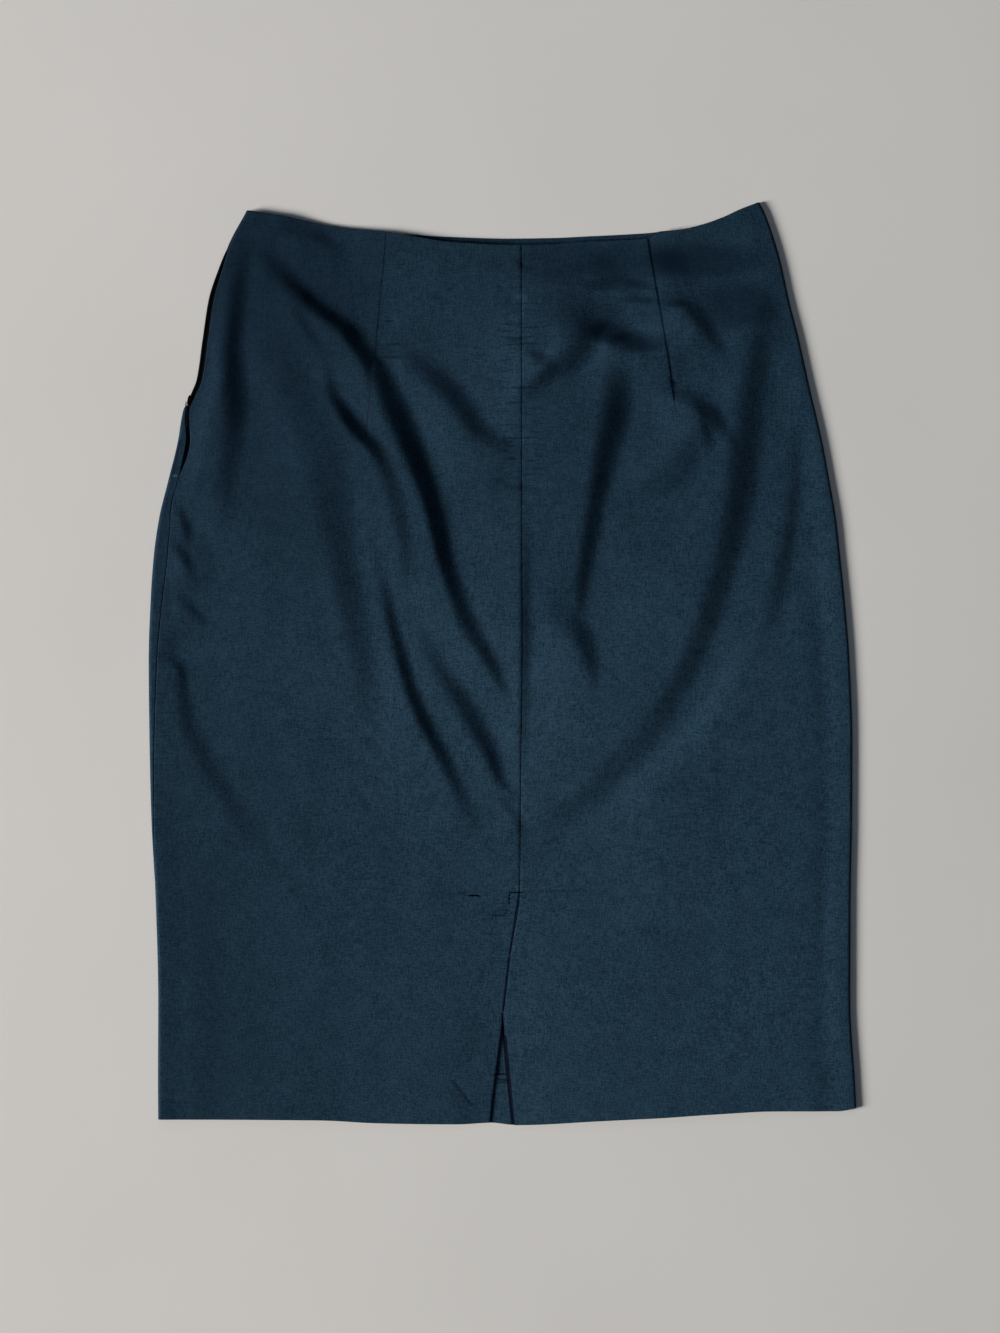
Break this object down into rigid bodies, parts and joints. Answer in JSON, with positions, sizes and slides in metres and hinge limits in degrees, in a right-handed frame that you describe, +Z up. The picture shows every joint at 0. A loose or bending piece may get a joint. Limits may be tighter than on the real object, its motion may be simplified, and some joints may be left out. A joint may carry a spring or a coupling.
{
  "type": "pencil skirt",
  "caption": "Plain knee-length pencil skirt laid flat, back side up, with back darts, a centre-back vent and a side zip.",
  "frame": {"origin": "middle of the laid skirt's outline, on the surface it rests on", "axes": "+Y runs from the hem to the waist, +Z up, and the side zip is at -X"},
  "size_m": [0.505, 0.6589, 0.0157],
  "materials": {
    "cloth": "fine matt twill suiting, deep teal navy, with a faint sheen",
    "tape": "black woven zip tape",
    "metal": "dark lacquered zip slider and pull"
  },
  "bodies": {
    "skirt": {"front": "cloth", "back_left": "cloth", "back_right": "cloth", "zip_tape": "tape", "zip_slider": "metal"},
    "zip_pull": {"zip_pull": "metal"}
  },
  "joints": [
    {"name": "zip_pull_hinge", "type": "hinge", "parent": "skirt", "child": "zip_pull", "pos_m": [-0.2253, 0.1843, 0.0049], "axis": [-1, 0, 0], "range_deg": [0, 150]}
  ]
}
